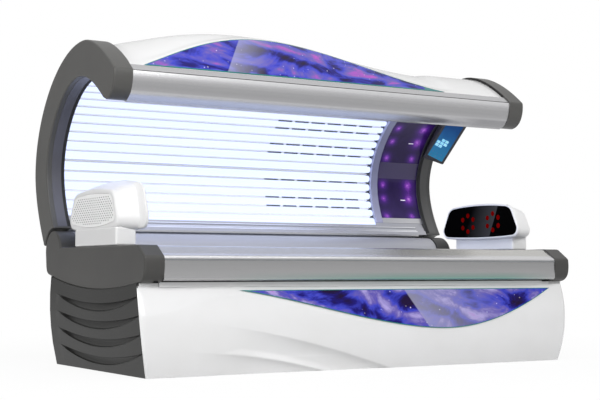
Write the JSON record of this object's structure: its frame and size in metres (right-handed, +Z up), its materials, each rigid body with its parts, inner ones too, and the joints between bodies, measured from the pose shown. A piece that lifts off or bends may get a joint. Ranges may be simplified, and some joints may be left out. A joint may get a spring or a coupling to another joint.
{
  "type": "clamshell tanning bed",
  "caption": "Lie-down tanning bed: a lamp bench on a bulged skirted base, under an arched lamp canopy that closes over it on a rear hinge with gas struts.",
  "frame": {"origin": "on the floor, under the middle of the bounding box in length and depth", "axes": "+X along the bed towards the end with the display, +Y to the rear, where the hinge is, +Z up"},
  "size_m": [2.1866, 1.2247, 1.4973],
  "materials": {
    "grey_plastic": "satin moulded",
    "white_gloss": "gloss moulded",
    "aluminium": "satin anodised",
    "frame_steel": "powder coat",
    "bright_steel": "turned",
    "reflector": "bright rolled",
    "lamp_glass": "white phosphor",
    "clear_acrylic": "clear",
    "violet_acrylic": "tinted gloss",
    "printed_acrylic": "gloss over print",
    "black_plastic": "gloss",
    "black_metal": "satin",
    "rubber": "matt",
    "screen": "gloss",
    "circuit_board": "solder mask"
  },
  "bodies": {
    "base": {"ballast_tray": "frame_steel", "base_fan_housing": "black_plastic", "base_frame": "frame_steel", "base_left_end_panel": "grey_plastic", "base_rear_panel": "grey_plastic", "base_right_end_panel": "grey_plastic", "bench_acrylic": "clear_acrylic", "bench_front_rail": "aluminium", "bench_lamp_bank": "lamp_glass", "bench_left_cap": "grey_plastic", "bench_rear_rail": "aluminium", "bench_reflector_tray": "reflector", "bench_right_cap": "grey_plastic", "front_left_foot": "rubber", "front_right_foot": "rubber", "front_skirt": "white_gloss", "left_hinge_pin": "bright_steel", "left_pod_grille": "white_gloss", "left_pod_light_board": "circuit_board", "left_pod_pedestal": "white_gloss", "left_pod_shell": "white_gloss", "left_pod_window": "black_plastic", "mains_gland": "black_plastic", "rear_left_foot": "rubber", "rear_right_foot": "rubber", "right_hinge_pin": "bright_steel", "right_pod_grille": "white_gloss", "right_pod_light_board": "circuit_board", "right_pod_pedestal": "white_gloss", "right_pod_shell": "white_gloss", "right_pod_window": "black_plastic", "skirt_print_panel": "printed_acrylic", "skirt_sill": "aluminium"},
    "canopy": {"canopy_acrylic": "clear_acrylic", "canopy_cover": "white_gloss", "canopy_front_rail": "aluminium", "canopy_lamp_1": "lamp_glass", "canopy_lamp_2": "lamp_glass", "canopy_lamp_3": "lamp_glass", "canopy_lamp_4": "lamp_glass", "canopy_lamp_5": "lamp_glass", "canopy_left_arch": "grey_plastic", "canopy_left_end_frame": "frame_steel", "canopy_print_panel": "printed_acrylic", "canopy_rear_rail": "aluminium", "canopy_reflector": "reflector", "canopy_right_arch": "grey_plastic", "canopy_right_end_frame": "frame_steel", "display_housing": "grey_plastic", "display_screen": "screen", "head_panel": "violet_acrylic", "lamp_end_band": "reflector", "lower_facial_unit": "aluminium", "roof_lamp_bank": "lamp_glass", "upper_facial_unit": "aluminium"},
    "fan": {"base_fan_rotor": "black_plastic"},
    "left_strut_cylinder": {"left_strut_cylinder": "black_metal"},
    "left_strut_rod": {"left_strut_rod": "bright_steel"},
    "right_strut_cylinder": {"right_strut_cylinder": "black_metal"},
    "right_strut_rod": {"right_strut_rod": "bright_steel"}
  },
  "joints": [
    {"name": "canopy_hinge", "type": "hinge", "parent": "base", "child": "canopy", "pos_m": [0, 0.3725, 0.501], "axis": [1, 0, 0], "range_deg": [0, 38], "stiffness_Nm_per_rad": 340, "springref_deg": -22.92},
    {"name": "base_fan_spin", "type": "hinge", "parent": "base", "child": "fan", "pos_m": [-0.9, -0.1005, 0.215], "axis": [1, 0, 0], "continuous": true},
    {"name": "left_strut_swing", "type": "hinge", "parent": "base", "child": "left_strut_cylinder", "pos_m": [-0.975, 0.3165, 0.146], "axis": [1, 0, 0], "range_deg": [-2.5, 0]},
    {"name": "left_strut_slide", "type": "slide", "parent": "left_strut_cylinder", "child": "left_strut_rod", "axis": [0, -0.0169, 0.9999], "range_m": [-0.04, 0]},
    {"name": "right_strut_swing", "type": "hinge", "parent": "base", "child": "right_strut_cylinder", "pos_m": [0.975, 0.3165, 0.146], "axis": [1, 0, 0], "range_deg": [-2.5, 0]},
    {"name": "right_strut_slide", "type": "slide", "parent": "right_strut_cylinder", "child": "right_strut_rod", "axis": [0, -0.0169, 0.9999], "range_m": [-0.04, 0]}
  ],
  "couplings": [
    {"joint": "left_strut_swing", "follows": "canopy_hinge", "ratio": -0.05945},
    {"joint": "left_strut_slide", "follows": "canopy_hinge", "m_per_rad": -0.05751},
    {"joint": "right_strut_swing", "follows": "canopy_hinge", "ratio": -0.05945},
    {"joint": "right_strut_slide", "follows": "canopy_hinge", "m_per_rad": -0.05751}
  ]
}
